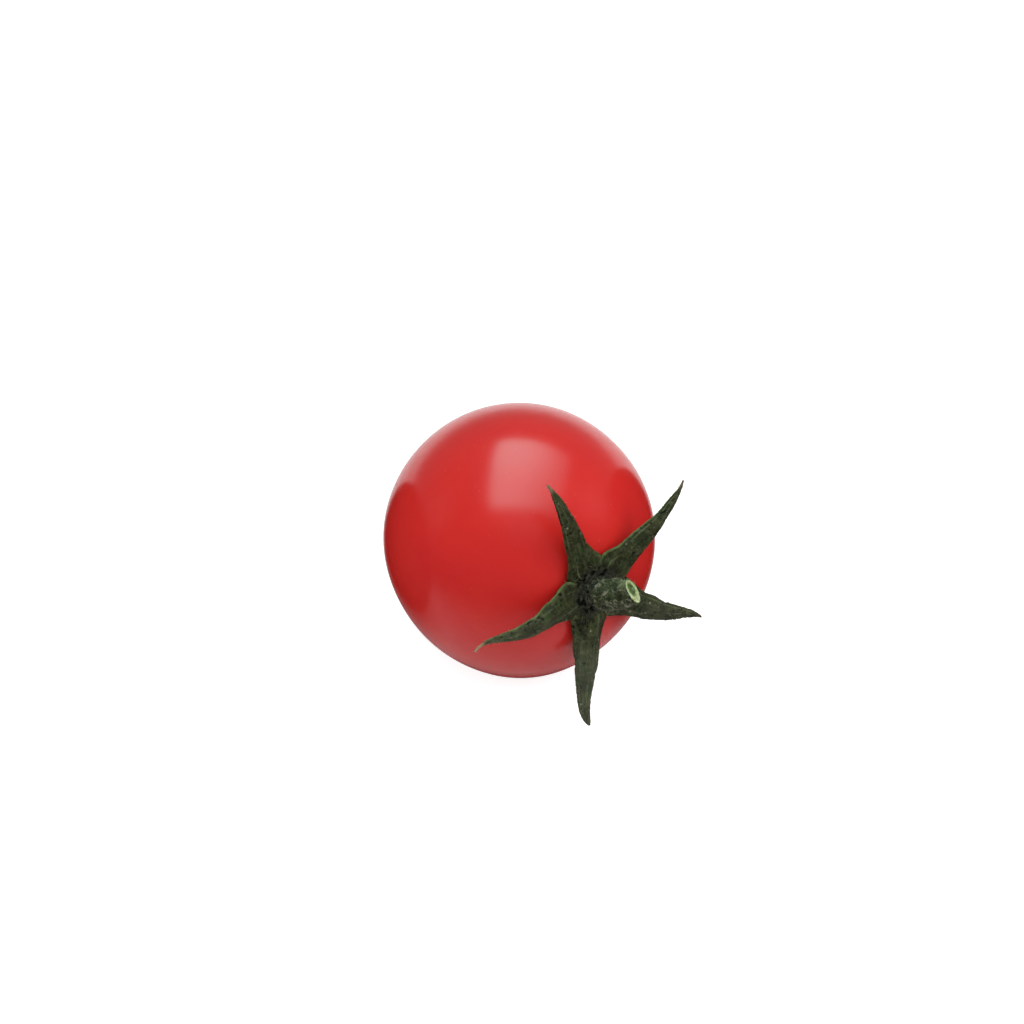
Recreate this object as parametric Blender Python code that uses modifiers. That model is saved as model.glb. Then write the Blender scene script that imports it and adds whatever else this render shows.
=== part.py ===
"""A cherry tomato as picked, lying on its side: one berry, a cut stub of its stalk and a star of five sepals.

Metres, +Z up. The origin is the middle of the small flat spot that the berry rests on. Everything else is
modelled in the stalk frame: its origin is the berry's centre and its +Z runs out along the stalk, so the pieces
hang from an empty that is placed and turned there.
"""

import math

import bmesh
import bpy
from mathutils import Vector

MM = 0.001

# The berry: half its width across the stalk, and its centre to where its two ends would be without hollows
BERRY_RADIUS = 13.5 * MM
BERRY_HALF_LENGTH = 12.96 * MM
STALK_HOLLOW_DEPTH = 1.15 * MM
STALK_HOLLOW_WIDTH = 3.6 * MM
BLOSSOM_HOLLOW_DEPTH = 0.35 * MM
BLOSSOM_HOLLOW_WIDTH = 2.2 * MM
REST_RADIUS = 2.5 * MM
BERRY_RINGS = 28
BERRY_STEPS = 48

# How the berry lies: where its stalk end points, as a turn about the vertical and a height above level
STALK_TURN = math.radians(-54.6)
STALK_RAISED = math.radians(10.8)

# The receptacle, a small round disc in the stalk hollow, and the stub that grows from it
DISC_RADIUS = 2.2 * MM
DISC_BOTTOM = 12.4 * MM
DISC_TOP = 13.15 * MM
DISC_STEPS = 24
STUB_START = Vector((0.0, 0.0, 12.7)) * MM
STUB_BEND = Vector((0.0, 0.0, 14.8)) * MM
STUB_END = Vector((-1.6, 1.22, 17.5)) * MM
STUB_BASE_RADIUS = 1.2 * MM
STUB_BELLY = 0.25 * MM
STUB_END_RADIUS = 1.22 * MM
STUB_POINTS = 10
STUB_ROUNDNESS = 5
STUB_SPARE = 1.6 * MM
CUT_FACING = Vector((-0.50, 0.66, 0.56))
CUT_BLOCK = 9 * MM

# The sepals: they leave the hub at its height and start a fine gap outside the disc
HUB_HEIGHT = 12.65 * MM
GAP = 0.3 * MM
SEPAL_START = DISC_RADIUS + GAP
SEPAL_THICKNESS = 0.75 * MM
TIP_THINNESS = 0.45
TIP_HALF_WIDTH = 0.14 * MM
TAPER = 0.7
ROOT_SPREAD = 0.54
KEEL = 0.18
SEPAL_ROWS = 14
SEPAL_COLUMNS = 4

# Each sepal: the way it points around the stalk, its reach from the hub, its breadth, how its middle arches and
# its tip rises off the hub's plane, and how it bows, sways and hooks sideways
SEPALS = {
    "sepal_upper_left": dict(
        heading=-166.0, reach=14.7, breadth=3.6, arch=0.5, rise=0.7, bow=0.18, sway=0.0, hook=0.7
    ),
    "sepal_upper_right": dict(
        heading=121.5, reach=13.5, breadth=3.8, arch=0.5, rise=0.7, bow=-0.07, sway=0.04, hook=0.9
    ),
    "sepal_right": dict(
        heading=60.3, reach=14.1, breadth=4.0, arch=0.7, rise=0.5, bow=-1.0, sway=0.25, hook=-1.45
    ),
    "sepal_lower": dict(
        heading=-21.9, reach=14.0, breadth=4.3, arch=0.4, rise=0.9, bow=0.65, sway=-0.25, hook=2.4
    ),
    "sepal_lower_left": dict(
        heading=-99.1, reach=14.2, breadth=3.7, arch=0.8, rise=0.5, bow=1.3, sway=-0.5, hook=2.2
    ),
}
HOOK_POWER = 6

ROUND_ANGLE = math.radians(40)
FINE = 0.00001


def start_empty():
    for thing in list(bpy.data.objects):
        bpy.data.objects.remove(thing)


def add_collection(name):
    collection = bpy.data.collections.new(name)
    bpy.context.scene.collection.children.link(collection)
    return collection


def make_material(name, colour, roughness):
    material = bpy.data.materials.new(name)
    material.use_nodes = True
    shader = material.node_tree.nodes["Principled BSDF"]
    shader.inputs["Base Color"].default_value = (*colour, 1.0)
    shader.inputs["Roughness"].default_value = roughness
    shader.inputs["Metallic"].default_value = 0.0
    return material


def add_object(name, mesh, collection, parent=None, material=None):
    thing = bpy.data.objects.new(name, mesh)
    collection.objects.link(thing)
    thing.parent = parent
    if material:
        mesh.materials.append(material)
    return thing


def round_off(mesh):
    mesh.shade_smooth()
    mesh.set_sharp_from_angle(angle=ROUND_ANGLE)


def profile_mesh(name, points):
    """An open chain of points in the XZ plane, for a Screw modifier to turn."""
    mesh = bpy.data.meshes.new(name)
    edges = [(i, i + 1) for i in range(len(points) - 1)]
    mesh.from_pydata([(x, 0.0, z) for x, z in points], edges, [])
    return mesh


def turn(thing, steps):
    screw = thing.modifiers.new("turned", "SCREW")
    screw.axis = "Z"
    screw.steps = steps
    screw.render_steps = steps
    screw.use_merge_vertices = True
    screw.merge_threshold = FINE
    screw.use_smooth_shade = True


def combine(thing, operation, other):
    boolean = thing.modifiers.new(operation.lower(), "BOOLEAN")
    boolean.operation = operation
    boolean.solver = "EXACT"
    boolean.object = other


def hide_guide(guide):
    guide.hide_render = True
    guide.display_type = "WIRE"


def box_mesh(name, size):
    mesh = bpy.data.meshes.new(name)
    shape = bmesh.new()
    bmesh.ops.create_cube(shape, size=size)
    shape.to_mesh(mesh)
    shape.free()
    return mesh


def stalk_direction():
    level = math.cos(STALK_RAISED)
    return Vector(
        (level * math.cos(STALK_TURN), level * math.sin(STALK_TURN), math.sin(STALK_RAISED))
    )


def berry_centre():
    """The berry is an ellipsoid, so its lowest point is a little to one side of its centre.

    Its flat spot is that low cap cut off, and the flat spot's middle is the origin.
    """
    stalk = stalk_direction()
    squash = BERRY_RADIUS**2 - BERRY_HALF_LENGTH**2
    depth = math.sqrt(BERRY_RADIUS**2 - squash * stalk.z**2)
    aside = stalk * (squash * stalk.z / depth)
    sunk = BERRY_RADIUS - math.sqrt(BERRY_RADIUS**2 - REST_RADIUS**2)
    return Vector((-aside.x, -aside.y, depth - sunk))


def stalk_frame(collection):
    frame = bpy.data.objects.new("stalk_frame", None)
    frame.empty_display_size = BERRY_RADIUS
    frame.location = berry_centre()
    frame.rotation_euler = (0.0, math.pi / 2 - STALK_RAISED, STALK_TURN)
    collection.objects.link(frame)
    return frame


def make_berry(parts, cutters, frame):
    points = []
    for ring in range(BERRY_RINGS + 1):
        angle = math.pi * ring / BERRY_RINGS
        out = BERRY_RADIUS * math.sin(angle)
        height = BERRY_HALF_LENGTH * math.cos(angle)
        if height > 0:
            height -= STALK_HOLLOW_DEPTH * math.exp(-((out / STALK_HOLLOW_WIDTH) ** 2))
        else:
            height += BLOSSOM_HOLLOW_DEPTH * math.exp(-((out / BLOSSOM_HOLLOW_WIDTH) ** 2))
        points.append((out, height))
    points[0] = (0.0, points[0][1])
    points[-1] = (0.0, points[-1][1])
    skin = make_material("tomato_skin", (0.56, 0.022, 0.018), 0.25)
    berry = add_object("fruit", profile_mesh("fruit", points), parts, frame, skin)
    turn(berry, BERRY_STEPS)

    size = 3 * BERRY_RADIUS
    table = add_object("table_cut", box_mesh("table_cut", size), cutters)
    table.location = (0.0, 0.0, -size / 2)
    hide_guide(table)
    combine(berry, "DIFFERENCE", table)
    return berry


def stub_point(along):
    """A point on the stub's centre line, a curve that leaves straight and bends over to one side."""
    back = 1.0 - along
    return STUB_START * back**2 + STUB_BEND * (2 * back * along) + STUB_END * along**2


def stub_tube():
    curve = bpy.data.curves.new("stub_tube", "CURVE")
    curve.dimensions = "3D"
    curve.bevel_depth = STUB_BASE_RADIUS
    curve.bevel_resolution = STUB_ROUNDNESS
    curve.use_fill_caps = True
    spline = curve.splines.new("POLY")
    spline.points.add(STUB_POINTS)
    run_out = (STUB_END - STUB_BEND).normalized() * STUB_SPARE
    for i, point in enumerate(spline.points):
        along = min(1.0, i / (STUB_POINTS - 1))
        place = stub_point(along) + (run_out if i == STUB_POINTS else Vector())
        radius = STUB_BASE_RADIUS + (STUB_END_RADIUS - STUB_BASE_RADIUS) * along
        radius += STUB_BELLY * math.sin(math.pi * along)
        point.co = (*place, 1.0)
        point.radius = radius / STUB_BASE_RADIUS
    return bpy.data.objects.new("stub_tube", curve)


def as_welded_mesh(curve_object, name, collection):
    collection.objects.link(curve_object)
    bpy.context.view_layer.update()
    seen = curve_object.evaluated_get(bpy.context.evaluated_depsgraph_get())
    mesh = bpy.data.meshes.new_from_object(seen)
    shape = bmesh.new()
    shape.from_mesh(mesh)
    bmesh.ops.remove_doubles(shape, verts=shape.verts, dist=FINE)
    shape.to_mesh(mesh)
    shape.free()
    mesh.name = name
    thing = bpy.data.objects.new(name, mesh)
    thing.matrix_world = curve_object.matrix_world
    collection.objects.link(thing)
    bpy.data.objects.remove(curve_object)
    return thing


def make_stem(parts, cutters, frame):
    stem = as_welded_mesh(stub_tube(), "stem", parts)
    stem.parent = frame
    stem.data.materials.append(make_material("green_stalk", (0.042, 0.062, 0.026), 0.8))
    round_off(stem.data)

    rim = (DISC_TOP - DISC_BOTTOM) / 2
    points = [
        (0.0, DISC_TOP),
        (DISC_RADIUS - rim, DISC_TOP),
        (DISC_RADIUS, DISC_TOP - rim),
        (DISC_RADIUS - rim, DISC_BOTTOM),
        (0.0, DISC_BOTTOM),
    ]
    disc = add_object("receptacle_disc", profile_mesh("receptacle_disc", points), cutters, frame)
    turn(disc, DISC_STEPS)
    hide_guide(disc)
    combine(stem, "UNION", disc)

    knife = add_object("oblique_cut", box_mesh("oblique_cut", CUT_BLOCK), cutters, frame)
    facing = CUT_FACING.normalized()
    knife.location = STUB_END + facing * (CUT_BLOCK / 2)
    knife.rotation_euler = facing.to_track_quat("Z", "Y").to_euler()
    hide_guide(knife)
    combine(stem, "DIFFERENCE", knife)
    return stem


def midline(sepal, along):
    """A point on a sepal's middle line in the stalk frame, where along is 0 at the hub and 1 at the tip."""
    angle = math.radians(sepal["heading"])
    outward = Vector((math.cos(angle), math.sin(angle), 0.0))
    sideways = Vector((-math.sin(angle), math.cos(angle), 0.0))
    aside = sepal["bow"] * math.sin(math.pi * along)
    aside += sepal["sway"] * math.sin(2 * math.pi * along)
    aside += sepal["hook"] * along**HOOK_POWER
    lift = sepal["arch"] * math.sin(math.pi * along) + sepal["rise"] * along**2
    height = Vector((0.0, 0.0, HUB_HEIGHT + lift * MM))
    return outward * (sepal["reach"] * along * MM) + sideways * (aside * MM) + height


def half_width(sepal, along):
    """Half the blade's width: its own taper, and near the hub what the neighbours leave it."""
    blade = sepal["breadth"] * MM / 2 * (1.0 - along) ** TAPER
    room = ROOT_SPREAD * sepal["reach"] * MM * along - GAP / 2
    return max(TIP_HALF_WIDTH, min(blade, room))


def blade_point(sepal, along, across):
    """A point on the blade, with across from -1 to 1 and its edges drooping off a low keel."""
    step = 0.01
    ahead = midline(sepal, min(1.0, along + step)) - midline(sepal, along - step)
    side = Vector((0.0, 0.0, 1.0)).cross(ahead).normalized()
    up = ahead.cross(side).normalized()
    half = half_width(sepal, along)
    return midline(sepal, along) + side * (half * across) - up * (KEEL * half * across**2)


def make_sepal(name, sepal, parts, frame, material):
    mesh = bpy.data.meshes.new(name)
    shape = bmesh.new()
    bmesh.ops.create_grid(shape, x_segments=SEPAL_COLUMNS, y_segments=SEPAL_ROWS, size=1.0)
    start = SEPAL_START / (sepal["reach"] * MM)
    thinness = {}
    for vert in shape.verts:
        share = (vert.co.y + 1.0) / 2
        across = vert.co.x
        vert.co = blade_point(sepal, start + (1.0 - start) * share, across)
        thinness[vert.index] = 1.0 - (1.0 - TIP_THINNESS) * share
    shape.to_mesh(mesh)
    shape.free()
    blade = add_object(name, mesh, parts, frame, material)
    group = blade.vertex_groups.new(name="thickness")
    for index, weight in thinness.items():
        group.add([index], weight, "REPLACE")
    shell = blade.modifiers.new("thickness", "SOLIDIFY")
    shell.thickness = SEPAL_THICKNESS
    shell.offset = 0.0
    shell.vertex_group = group.name
    soft = blade.modifiers.new("rounding", "SUBSURF")
    soft.levels = 1
    soft.render_levels = 1
    mesh.shade_smooth()
    return blade


def make_tomato():
    start_empty()
    parts = add_collection("cherry_tomato")
    cutters = add_collection("cutters")
    frame = stalk_frame(parts)
    make_berry(parts, cutters, frame)
    make_stem(parts, cutters, frame)
    for name, sepal in SEPALS.items():
        green = make_material(name + "_green", (0.026, 0.042, 0.018), 0.7)
        make_sepal(name, sepal, parts, frame, green)


make_tomato()
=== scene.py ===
# A ripe cherry tomato lying on its side, with its five green sepals and the cut stub of its stalk.
import bpy
import math
import random
from mathutils import Euler, Matrix, Vector, noise


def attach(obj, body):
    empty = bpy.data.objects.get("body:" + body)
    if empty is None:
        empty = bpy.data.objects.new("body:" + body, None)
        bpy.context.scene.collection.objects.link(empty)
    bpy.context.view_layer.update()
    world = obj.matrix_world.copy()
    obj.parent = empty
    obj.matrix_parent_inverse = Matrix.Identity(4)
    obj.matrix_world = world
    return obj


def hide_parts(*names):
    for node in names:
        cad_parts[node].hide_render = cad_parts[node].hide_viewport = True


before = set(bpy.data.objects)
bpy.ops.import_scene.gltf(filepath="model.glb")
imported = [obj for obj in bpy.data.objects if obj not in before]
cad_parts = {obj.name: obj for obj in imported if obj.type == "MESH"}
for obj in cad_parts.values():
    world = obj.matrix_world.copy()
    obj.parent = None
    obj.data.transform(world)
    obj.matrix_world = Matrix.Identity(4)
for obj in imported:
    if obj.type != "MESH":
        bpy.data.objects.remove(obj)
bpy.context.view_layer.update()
noise.seed_set(1)  # noise_vector has a new start each run without this
mm = 0.001

# The berry's sizes in millimetres and how it lies: the turn and the height of its stalk end in degrees
berry = {"radius": 13.5, "halfLength": 12.96, "restRadius": 2.5, "turn": -54.6, "raised": 10.8}


# Pieces are shaped in millimetres in the stalk's own space: the berry's middle at 0, +Z out along the stalk
def findStalkSpace():
    turn = math.radians(berry["turn"])
    raised = math.radians(berry["raised"])
    stalk = Vector((math.cos(raised) * math.cos(turn), math.cos(raised) * math.sin(turn), math.sin(raised)))
    squash = berry["radius"] ** 2 - berry["halfLength"] ** 2
    depth = math.sqrt(berry["radius"] ** 2 - squash * stalk.z**2)
    aside = stalk * (squash * stalk.z / depth)
    sunk = berry["radius"] - math.sqrt(berry["radius"] ** 2 - berry["restRadius"] ** 2)
    middle = Vector((-aside.x, -aside.y, depth - sunk)) * mm
    turned = Euler((0, math.pi / 2 - raised, turn)).to_matrix().to_4x4()
    return Matrix.Translation(middle) @ turned @ Matrix.Scale(mm, 4)


stalkSpace = findStalkSpace()
berryMiddle = stalkSpace.translation
stalkWay = (stalkSpace.to_3x3() @ Vector((0, 0, 1))).normalized()


# Camera and light

view = {
    "height": 41.0,  # degrees above the horizon
    "distance": 450.0,
    "focal": 161.7,
    # Millimetres that the camera stands off the line to the berry's middle
    "aside": -0.714,
    "above": 2.64,
}


def addCamera():
    height = math.radians(view["height"])
    toward = Vector((0, -math.cos(height), math.sin(height)))
    up = Vector((0, math.sin(height), math.cos(height)))
    off = toward * view["distance"] + up * view["above"] + Vector((view["aside"], 0, 0))
    bpy.ops.object.camera_add(location=berryMiddle + off * mm, rotation=(math.pi / 2 - height, 0, 0))
    camera = bpy.context.object
    camera.data.lens = view["focal"]
    camera.data.sensor_width = 36.0
    camera.data.clip_start = 0.01
    bpy.context.scene.camera = camera


# Soft lamps in a pale room, over a white light table. What only a shine shows is set apart from the light:
# the lit panel, the dim room, the table's painted shade and shadows, and a black card on each side, as used
# for glossy things
studio = {
    # Each lamp's place, size and power
    "lamps": {
        "soft lamp": ((0.3, -0.4, 1.6), 2.0, 25.6),
        "left lamp": ((-1.2, 0.0, 0.6), 0.6, 4.0),
        "right lamp": ((1.2, 0.0, 0.6), 0.6, 4.5),
    },
    "panelPlace": (0.315, 0.24, 1.55),
    "panelSize": (1.79, 2.39),
    "panelTurn": -6.0,
    "panelGlow": 5.8,
    "shineTint": "#a8ffff",  # daylight, a little cool
    # How the panel's glow fades: which way, from and to which share of it, and the glow there
    "panelFades": [
        ("across", 0.0, 0.07, 0.0, 1.0), ("across", 0.25, 1.0, 1.0, 0.25), ("along", 0.0, 0.14, 0.0, 1.0),
        ("along", 0.3, 0.65, 0.72, 1.0), ("along", 0.88, 1.0, 1.0, 0.0),
    ],
    # A way's share towards the back runs from -1 to 1: where the room's light changes, and what it is there
    "roomLight": (-0.2, 1.0, 0.5, 0.12),
    "roomShineTurn": (-0.3, 0.6),
    "roomShineFront": 0.06,
    "roomShineBack": 0.32,
    "roomShineStraight": (0.7, 0.95),
    "roomShineLow": 0.52,  # low down, straight behind
    "roomShineRise": 0.2,  # the share upwards at which that ends
    "tableSize": 8.0,
    "tableDrop": 0.02,
    "tableWhite": 0.61,
    "tableGlow": 0.8,
    "tableShineMiddle": 60.0,  # millimetres behind the berry, where a shine shows the table brightest
    "tableShineReach": (125.0, 60.0, 5.0),
    "tableShine": (0.72, 0.96),
    "tableSides": (20.0, 120.0),  # how far back the table's sides fade out of the shine
    # Painted shadows that a shine shows on the table, one under the berry and one out to each side: how far
    # off the middle, from and to which reach, and the share left
    "tablePaintedShadows": [(0.0, 6.5, 9.5, 0.0), (26.0, 10.0, 17.0, 0.2)],
    "felt": "#100606",
    # Each card's place and radius
    "cards": [((-17.0, -2.0, 12.3), 10.85), ((17.0, 0.5, 13.4), 11.7)],
}

rangeEnds = (1, 2, 3, 4)  # a Map Range node's sockets: From Min, From Max, To Min and To Max


# Turns an sRGB colour into the linear one that shaders take
def hexColour(text):
    shares = [int(text[i : i + 2], 16) / 255 for i in (1, 3, 5)]
    linear = [s / 12.92 if s <= 0.04045 else ((s + 0.055) / 1.055) ** 2.4 for s in shares]
    return (*linear, 1.0)


def addNode(tree, kind, settings=None, values=None, links=None):
    node = tree.nodes.new("ShaderNode" + kind)
    for name, value in (settings or {}).items():
        setattr(node, name, value)
    for socket, value in (values or {}).items():
        node.inputs[socket].default_value = value
    for socket, source in (links or {}).items():
        tree.links.new(source, node.inputs[socket])
    return node


def startMaterial(name, shaderValues):
    material = bpy.data.materials.new(name)
    material.use_nodes = True
    shader = material.node_tree.nodes["Principled BSDF"]
    for socket, value in shaderValues.items():
        shader.inputs[socket].default_value = value
    return material, material.node_tree, shader


# Lays colour after colour over the ground colour. Each row of layers is a colour, what it follows, the range
# of that, and how much of the colour shows at the range's two ends
def paintLayers(tree, shader, look, sources):
    laid = addNode(tree, "RGB").outputs[0]
    laid.default_value = hexColour(look["ground"])
    for colour, source, *ends in look["layers"]:
        share = addNode(tree, "MapRange", values=dict(zip(rangeEnds, ends)), links={0: sources[source]})
        laid = addNode(tree, "Mix", {"data_type": "RGBA"}, {7: hexColour(look[colour])}, {
            0: share.outputs[0], 6: laid,
        }).outputs[2]
    tree.links.new(laid, shader.inputs["Base Color"])


def addRoom():
    bpy.context.scene.world = bpy.data.worlds.new("pale room")
    bpy.context.scene.world.use_nodes = True
    tree = bpy.context.scene.world.node_tree
    way = addNode(tree, "SeparateXYZ", links={0: addNode(tree, "TexCoord").outputs["Generated"]})
    back, up = way.outputs[1], way.outputs[2]
    light = addNode(tree, "MapRange", values=dict(zip(rangeEnds, studio["roomLight"])), links={0: back})
    # What a shine shows: dim in front, paler behind, and palest low down behind
    backShine = studio["roomShineBack"]
    ends = (*studio["roomShineStraight"], backShine, studio["roomShineLow"])
    straight = addNode(tree, "MapRange", values=dict(zip(rangeEnds, ends)), links={0: back})
    low = addNode(tree, "MapRange", values={1: 0.0, 2: studio["roomShineRise"], 4: backShine}, links={
        0: up, 3: straight.outputs[0],
    })
    ends = (*studio["roomShineTurn"], studio["roomShineFront"])
    shine = addNode(tree, "MapRange", values=dict(zip(rangeEnds, ends)), links={0: back, 4: low.outputs[0]})
    glossy = addNode(tree, "LightPath").outputs["Is Glossy Ray"]
    tint = hexColour(studio["shineTint"])
    strength = addNode(tree, "Mix", {"data_type": "FLOAT"}, links={
        0: glossy, 2: light.outputs[0], 3: shine.outputs[0],
    })
    colour = addNode(tree, "Mix", {"data_type": "RGBA"}, {6: (1, 1, 1, 1), 7: tint}, {0: glossy})
    tree.links.new(strength.outputs[0], tree.nodes["Background"].inputs["Strength"])
    tree.links.new(colour.outputs[2], tree.nodes["Background"].inputs["Color"])


def addLamps():
    for name, (place, size, power) in studio["lamps"].items():
        aim = (Vector(place) - berryMiddle).to_track_quat("Z", "Y").to_euler()
        bpy.ops.object.light_add(type="AREA", location=place, rotation=aim)
        lamp = bpy.context.object
        lamp.name = name
        lamp.data.size = size
        lamp.data.energy = power
        lamp.visible_glossy = False


def addPanel():
    turn = math.radians(studio["panelTurn"])
    bpy.ops.mesh.primitive_plane_add(size=1.0, location=studio["panelPlace"], rotation=(0, 0, turn))
    panel = bpy.context.object
    panel.name = "lit panel"
    panel.scale = (*studio["panelSize"], 1.0)
    panel.data.materials.append(makePanelCloth())
    onlyInShine(panel)


def onlyInShine(thing):
    for kind in ("camera", "diffuse", "shadow", "transmission", "volume_scatter"):
        setattr(thing, "visible_" + kind, False)


# Lit white cloth of a soft panel: brightest off its middle, and fading towards its hem
def makePanelCloth():
    cloth = bpy.data.materials.new("lit panel cloth")
    cloth.use_nodes = True
    tree = cloth.node_tree
    tree.nodes.remove(tree.nodes["Principled BSDF"])
    split = addNode(tree, "SeparateXYZ", links={0: addNode(tree, "TexCoord").outputs["UV"]})
    ways = {"across": split.outputs[0], "along": split.outputs[1]}
    glow = addNode(tree, "Value").outputs[0]
    glow.default_value = studio["panelGlow"]
    for side, *ends in studio["panelFades"]:
        fade = addNode(tree, "MapRange", {"interpolation_type": "SMOOTHSTEP"}, dict(zip(rangeEnds, ends)), {
            0: ways[side],
        })
        glow = addNode(tree, "Math", {"operation": "MULTIPLY"}, links={
            0: glow, 1: fade.outputs[0],
        }).outputs[0]
    emission = addNode(tree, "Emission", values={"Color": hexColour(studio["shineTint"])}, links={
        "Strength": glow,
    })
    tree.links.new(emission.outputs[0], tree.nodes["Material Output"].inputs["Surface"])
    return cloth


def addCards():
    # Black felt: takes nearly all the light
    felt = startMaterial("black felt", {
        "Base Color": hexColour(studio["felt"]), "Specular IOR Level": 0.0,
    })[0]
    for place, radius in studio["cards"]:
        bpy.ops.mesh.primitive_circle_add(
            vertices=96, radius=radius * mm, fill_type="NGON", location=Vector(place) * mm,
            rotation=(0, math.pi / 2, 0),
        )
        card = bpy.context.object
        card.name = "black card"
        card.data.materials.append(felt)
        onlyInShine(card)


# Matt white acrylic lit from inside: it stays white to the camera. A shine shows it whitest behind, with
# painted shade in front and at the sides, and painted shadows under and beside the berry
def makeTableWhite():
    white, tree, shader = startMaterial("lit white acrylic", {
        "Roughness": 0.9, "Specular IOR Level": 0.1, "Emission Color": (1, 1, 1, 1),
    })
    ray = addNode(tree, "LightPath")
    glow = addNode(tree, "Math", {"operation": "MULTIPLY"}, {1: studio["tableGlow"]}, {
        0: ray.outputs["Is Camera Ray"],
    })
    tree.links.new(glow.outputs[0], shader.inputs["Emission Strength"])
    split = addNode(tree, "SeparateXYZ", links={0: addNode(tree, "TexCoord").outputs["Object"]})
    across, back = split.outputs[0], split.outputs[1]
    inFront = addNode(tree, "Math", {"operation": "SUBTRACT"}, {1: studio["tableShineMiddle"] * mm}, {
        0: back,
    })
    inFront = addNode(tree, "Math", {"operation": "MINIMUM"}, {1: 0.0}, {0: inFront.outputs[0]})
    # Its sides matter only in front
    sidesStart, sidesEnd = (far * mm for far in studio["tableSides"])
    narrow = addNode(tree, "MapRange", values={1: sidesStart, 2: sidesEnd, 3: 1.0, 4: 0.0}, links={0: back})
    aside = addNode(tree, "Math", {"operation": "MULTIPLY"}, links={0: across, 1: narrow.outputs[0]})
    middle = addNode(tree, "CombineXYZ", links={0: aside.outputs[0], 1: inFront.outputs[0]})
    away = addNode(tree, "VectorMath", {"operation": "LENGTH"}, links={0: middle.outputs[0]}).outputs["Value"]
    edge, near, brightest = (reach * mm for reach in studio["tableShineReach"])
    nearShine, backShine = studio["tableShine"]
    front = addNode(tree, "MapRange", {"interpolation_type": "SMOOTHSTEP"}, {
        1: edge, 2: near, 4: nearShine,
    }, {0: away})
    behind = addNode(tree, "MapRange", values={1: near, 2: brightest, 4: backShine - nearShine}, links={
        0: away,
    })
    shine = addNode(tree, "Math", {"operation": "ADD"}, links={0: front.outputs[0], 1: behind.outputs[0]})
    offMiddle = addNode(tree, "Math", {"operation": "ABSOLUTE"}, links={0: across})
    # Painted shadow: in a shine the table darkens round each of these places
    for place, start, end, least in studio["tablePaintedShadows"]:
        beside = addNode(tree, "Math", {"operation": "SUBTRACT"}, {1: place * mm}, {0: offMiddle.outputs[0]})
        spot = addNode(tree, "CombineXYZ", links={0: beside.outputs[0], 1: back})
        off = addNode(tree, "VectorMath", {"operation": "LENGTH"}, links={0: spot.outputs[0]})
        lit = addNode(tree, "MapRange", values={1: start * mm, 2: end * mm, 3: least, 4: 1.0}, links={
            0: off.outputs["Value"],
        })
        shine = addNode(tree, "Math", {"operation": "MULTIPLY"}, links={
            0: shine.outputs[0], 1: lit.outputs[0],
        })
    shade = addNode(tree, "Mix", {"data_type": "FLOAT"}, {2: studio["tableWhite"]}, {
        0: ray.outputs["Is Glossy Ray"], 3: shine.outputs[0],
    })
    tree.links.new(shade.outputs[0], shader.inputs["Base Color"])
    return white


def addStudio():
    bpy.context.scene.view_settings.view_transform = "Standard"
    addRoom()
    addLamps()
    addPanel()
    addCards()
    bpy.ops.mesh.primitive_plane_add(size=studio["tableSize"], location=(0, 0, -studio["tableDrop"] * mm))
    table = bpy.context.object
    table.name = "light table"
    table.data.materials.append(makeTableWhite())


# Shared by the pieces

def smoothStep(low, high, value):
    share = min(1.0, max(0.0, (value - low) / (high - low)))
    return share * share * (3 - 2 * share)


def softMin(first, second, blend):
    near = max(0.0, blend - abs(first - second)) / blend
    return min(first, second) - near * near * blend / 4


def nothingSelected():
    if bpy.context.mode != "OBJECT":
        bpy.ops.object.mode_set(mode="OBJECT")
    bpy.ops.object.select_all(action="DESELECT")


def applyModifier(piece, kind, settings):
    bpy.context.view_layer.objects.active = piece
    modifier = piece.modifiers.new(kind.lower(), kind)
    for name, value in settings.items():
        setattr(modifier, name, value)
    bpy.ops.object.modifier_apply(modifier=modifier.name)


# Moves every point of a piece along its normal by what relief(point) gives, and keeps that in millimetres as
# an attribute for the materials
def carve(piece, relief):
    mesh = piece.data
    normals = [vert.normal.copy() for vert in mesh.vertices]
    heights = [relief(vert.co, normal) for vert, normal in zip(mesh.vertices, normals)]
    for vert, normal, height in zip(mesh.vertices, normals, heights):
        vert.co += normal * height
    mesh.attributes.new("relief", "FLOAT", "POINT").data.foreach_set("value", heights)
    mesh.update()


def finishPiece(piece, node):
    piece.name = node + "_shape"
    piece.data.transform(stalkSpace)
    piece.data.shade_smooth()
    piece.data.update()
    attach(piece, "root")
    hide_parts(node)
    print(node + ":", len(piece.data.polygons), "faces")


# The berry

fruitShape = {
    "subdivisions": 7,
    "hollowDepth": 1.15,
    "hollowWidth": 3.6,
    "blossomDepth": 0.35,
    "blossomWidth": 2.2,
    "scarEdge": (0.294, 0.546),
    "scarHeight": 0.1,
    "dimpleRadius": 0.21,
    "dimpleDepth": 0.2,
    # The patch round the scar is cut finer
    "scarPatch": 1.3,
    "scarCuts": 3,
    "swellWidth": 28.0,  # degrees
    # Seen round the outline: where, in degrees, and how much
    "swellings": [
        (45, -0.2), (84, -0.11), (116, 0.04), (172, 0.08),
        (204, -0.21), (236, -0.14), (276, 0.26), (324, 0.05),
    ],
    "waveHeight": 0.035,
    "wavePitch": 7.0,
    "restSoftness": 0.05,
}


def berryPoint(way):
    radius, halfLength = berry["radius"], berry["halfLength"]
    out = radius * math.hypot(way.x, way.y)
    height = halfLength * way.z
    if way.z > 0:
        height -= fruitShape["hollowDepth"] * math.exp(-((out / fruitShape["hollowWidth"]) ** 2))
    else:
        height += fruitShape["blossomDepth"] * math.exp(-((out / fruitShape["blossomWidth"]) ** 2))
        height -= fruitShape["scarHeight"] * (1 - smoothStep(*fruitShape["scarEdge"], out))
        height += fruitShape["dimpleDepth"] * (1 - smoothStep(0, fruitShape["dimpleRadius"], out))
    return Vector((radius * way.x, radius * way.y, height))


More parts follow.
